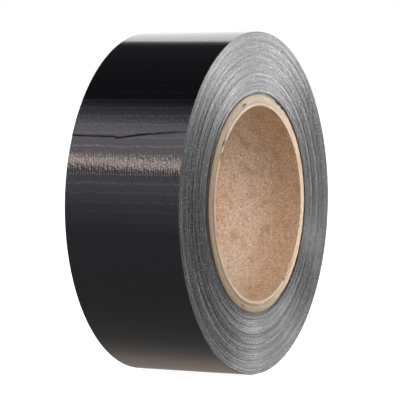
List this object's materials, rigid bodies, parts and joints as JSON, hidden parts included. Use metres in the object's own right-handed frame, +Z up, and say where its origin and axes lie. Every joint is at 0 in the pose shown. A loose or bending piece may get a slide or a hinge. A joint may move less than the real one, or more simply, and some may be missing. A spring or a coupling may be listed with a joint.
{
  "type": "duct tape roll",
  "caption": "Roll of black cloth-backed duct tape on a spiral-wound cardboard core, with a free end that peels up.",
  "frame": {"origin": "centre of the roll, on its axis, half way across the tape", "axes": "+Y along the roll's axis, +Z up with the roll standing on its tread, tape running over the top and its free end pointing down the -X side"},
  "size_m": [0.1329, 0.0496, 0.1331],
  "materials": {
    "core_kraft": "matte",
    "core_board": "matte",
    "tape_edge": "satin",
    "tape_film": "satin",
    "tape_cloth": "matte"
  },
  "bodies": {
    "roll": {"core_liner_ply": "core_kraft", "core_ply_2": "core_board", "core_ply_3": "core_board", "core_ply_4": "core_board", "core_outer_ply": "core_board", "windings": "tape_edge", "outer_lap_film": "tape_film", "outer_lap_cloth": "tape_cloth"},
    "free_end_1": {"free_end_film_1": "tape_film", "free_end_cloth_1": "tape_cloth"},
    "free_end_2": {"free_end_film_2": "tape_film", "free_end_cloth_2": "tape_cloth"},
    "free_end_3": {"free_end_film_3": "tape_film", "free_end_cloth_3": "tape_cloth"},
    "free_end_4": {"free_end_film_4": "tape_film", "free_end_cloth_4": "tape_cloth"},
    "free_end_5": {"free_end_film_5": "tape_film", "free_end_cloth_5": "tape_cloth"},
    "free_end_6": {"free_end_film_6": "tape_film", "free_end_cloth_6": "tape_cloth"},
    "free_end_7": {"free_end_film_7": "tape_film", "free_end_cloth_7": "tape_cloth"}
  },
  "joints": [
    {"name": "peel_1", "type": "hinge", "parent": "roll", "child": "free_end_1", "pos_m": [-0.03583, 0, 0.05624], "axis": [0, 1, 0], "range_deg": [0, 30]},
    {"name": "peel_2", "type": "hinge", "parent": "free_end_1", "child": "free_end_2", "pos_m": [-0.04059, 0, 0.0529], "axis": [0, 1, 0], "range_deg": [0, 25.5]},
    {"name": "peel_3", "type": "hinge", "parent": "free_end_2", "child": "free_end_3", "pos_m": [-0.04505, 0, 0.04916], "axis": [0, 1, 0], "range_deg": [0, 21]},
    {"name": "peel_4", "type": "hinge", "parent": "free_end_3", "child": "free_end_4", "pos_m": [-0.04917, 0, 0.04505], "axis": [0, 1, 0], "range_deg": [0, 18]},
    {"name": "peel_5", "type": "hinge", "parent": "free_end_4", "child": "free_end_5", "pos_m": [-0.05291, 0, 0.0406], "axis": [0, 1, 0], "range_deg": [0, 15]},
    {"name": "peel_6", "type": "hinge", "parent": "free_end_5", "child": "free_end_6", "pos_m": [-0.05625, 0, 0.03583], "axis": [0, 1, 0], "range_deg": [0, 13.5]},
    {"name": "peel_7", "type": "hinge", "parent": "free_end_6", "child": "free_end_7", "pos_m": [-0.05916, 0, 0.0308], "axis": [0, 1, 0], "range_deg": [0, 12]}
  ],
  "couplings": [
    {"joint": "peel_2", "follows": "peel_1", "ratio": 0.85},
    {"joint": "peel_3", "follows": "peel_1", "ratio": 0.7},
    {"joint": "peel_4", "follows": "peel_1", "ratio": 0.6},
    {"joint": "peel_5", "follows": "peel_1", "ratio": 0.5},
    {"joint": "peel_6", "follows": "peel_1", "ratio": 0.45},
    {"joint": "peel_7", "follows": "peel_1", "ratio": 0.4}
  ]
}
